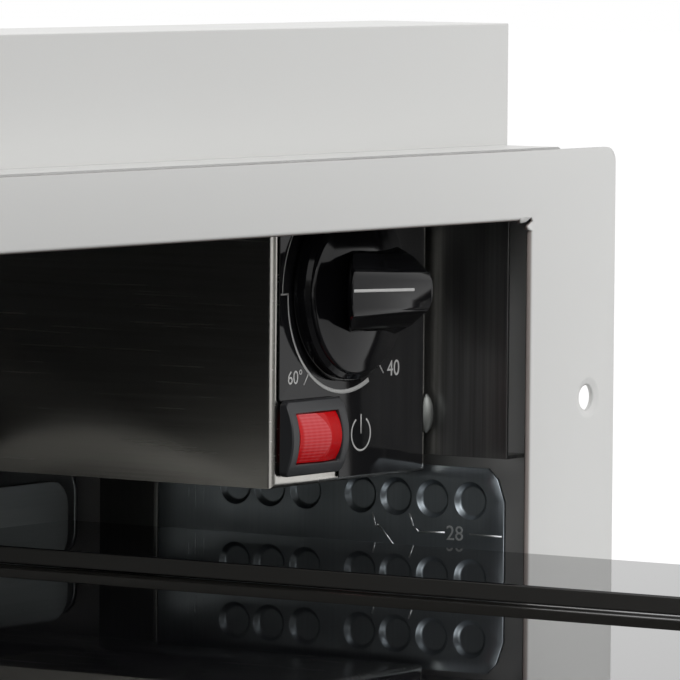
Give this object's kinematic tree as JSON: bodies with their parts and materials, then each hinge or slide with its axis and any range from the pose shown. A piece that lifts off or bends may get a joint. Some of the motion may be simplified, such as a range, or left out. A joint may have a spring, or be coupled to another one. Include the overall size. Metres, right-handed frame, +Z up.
{
  "type": "warming drawer",
  "caption": "Built-in warming drawer: sheet-steel housing, control box with knob and rocker switch, fan heater, and a glass-based drawer on telescopic runners behind a black glass front.",
  "frame": {"origin": "centre of the housing's flat underside, on the base tray", "axes": "+X to the right seen from the front, +Y into the appliance, +Z up; the drawer closes along +Y"},
  "size_m": [0.595, 1.0033, 0.14],
  "materials": {
    "grey_paint": "satin light grey powder coat",
    "zinc_sheet": "galvanised sheet, dull",
    "brushed_panel": "vertically brushed stainless steel",
    "dark_steel": "dark satin",
    "black_glass": "polished black glass, opaque",
    "black_gloss": "high gloss black",
    "black_plastic": "fine matt",
    "red_lens": "translucent red, ribbed inside",
    "nylon": "natural white",
    "gasket_rubber": "soft matt",
    "bright_steel": "bright"
  },
  "bodies": {
    "housing": {"base_tray": "grey_paint", "box_clip": "bright_steel", "cable_gland": "black_plastic", "cavity_ceiling": "zinc_sheet", "cavity_side_left": "brushed_panel", "cavity_side_right": "brushed_panel", "control_box": "brushed_panel", "control_label": "black_gloss", "element_clamp": "zinc_sheet", "fan_cover": "zinc_sheet", "fan_motor": "dark_steel", "front_frame": "grey_paint", "heating_element": "dark_steel", "latch_body": "black_plastic", "rear_plate_left": "zinc_sheet", "rear_plate_right": "zinc_sheet", "rear_wall": "zinc_sheet", "rocker_bezel": "black_gloss", "runner_channel_left": "zinc_sheet", "runner_channel_right": "zinc_sheet", "runner_plate_left": "zinc_sheet", "runner_plate_right": "zinc_sheet", "runner_post_left": "dark_steel", "runner_post_right": "dark_steel", "side_wall_left": "grey_paint", "side_wall_right": "grey_paint", "terminal_box": "black_plastic", "thermal_cutout": "black_plastic", "thermostat_body": "zinc_sheet", "top_cover": "grey_paint", "top_rail": "grey_paint"},
    "drawer": {"drawer_pan": "dark_steel", "glass_base": "black_glass", "ledge_rail_left": "black_gloss", "ledge_rail_right": "black_gloss", "ledge_glass_left": "black_glass", "ledge_glass_right": "black_glass", "drawer_back": "brushed_panel", "front_carrier": "brushed_panel", "front_panel": "black_glass", "front_bracket_left": "dark_steel", "front_bracket_right": "dark_steel", "front_gasket": "gasket_rubber", "runner_member_left": "zinc_sheet", "runner_member_right": "zinc_sheet"},
    "slide_left": {"runner_middle_left": "zinc_sheet", "outer_liner_left": "nylon", "inner_liner_left": "nylon"},
    "slide_right": {"runner_middle_right": "zinc_sheet", "outer_liner_right": "nylon", "inner_liner_right": "nylon"},
    "control_knob": {"knob": "black_gloss", "thermostat_shaft": "bright_steel"},
    "switch_rocker": {"rocker": "red_lens"},
    "fan_wheel": {"impeller": "black_plastic"},
    "plunger": {"latch_plunger": "nylon"}
  },
  "joints": [
    {"name": "drawer_slide", "type": "slide", "parent": "housing", "child": "drawer", "axis": [0, 1, 0], "range_m": [0, 0.42]},
    {"name": "slide_left_run", "type": "slide", "parent": "housing", "child": "slide_left", "axis": [0, 1, 0], "range_m": [0, 0.21]},
    {"name": "slide_right_run", "type": "slide", "parent": "housing", "child": "slide_right", "axis": [0, 1, 0], "range_m": [0, 0.21]},
    {"name": "knob_turn", "type": "hinge", "parent": "housing", "child": "control_knob", "pos_m": [0.2271, -0.2564, 0.0836], "axis": [0, 1, 0], "range_deg": [0, 270]},
    {"name": "rocker_tilt", "type": "hinge", "parent": "housing", "child": "switch_rocker", "pos_m": [0.2142, -0.2574, 0.053], "axis": [0, 0, 1], "range_deg": [-6, 0]},
    {"name": "fan_spin", "type": "hinge", "parent": "housing", "child": "fan_wheel", "pos_m": [-0.06, 0.2485, 0.0765], "axis": [0, 1, 0], "continuous": true},
    {"name": "plunger_press", "type": "slide", "parent": "housing", "child": "plunger", "axis": [0, 1, 0], "range_m": [0, 0.0045], "stiffness_N_per_m": 250}
  ],
  "couplings": [
    {"joint": "slide_left_run", "follows": "drawer_slide", "ratio": 0.5},
    {"joint": "slide_right_run", "follows": "drawer_slide", "ratio": 0.5}
  ]
}
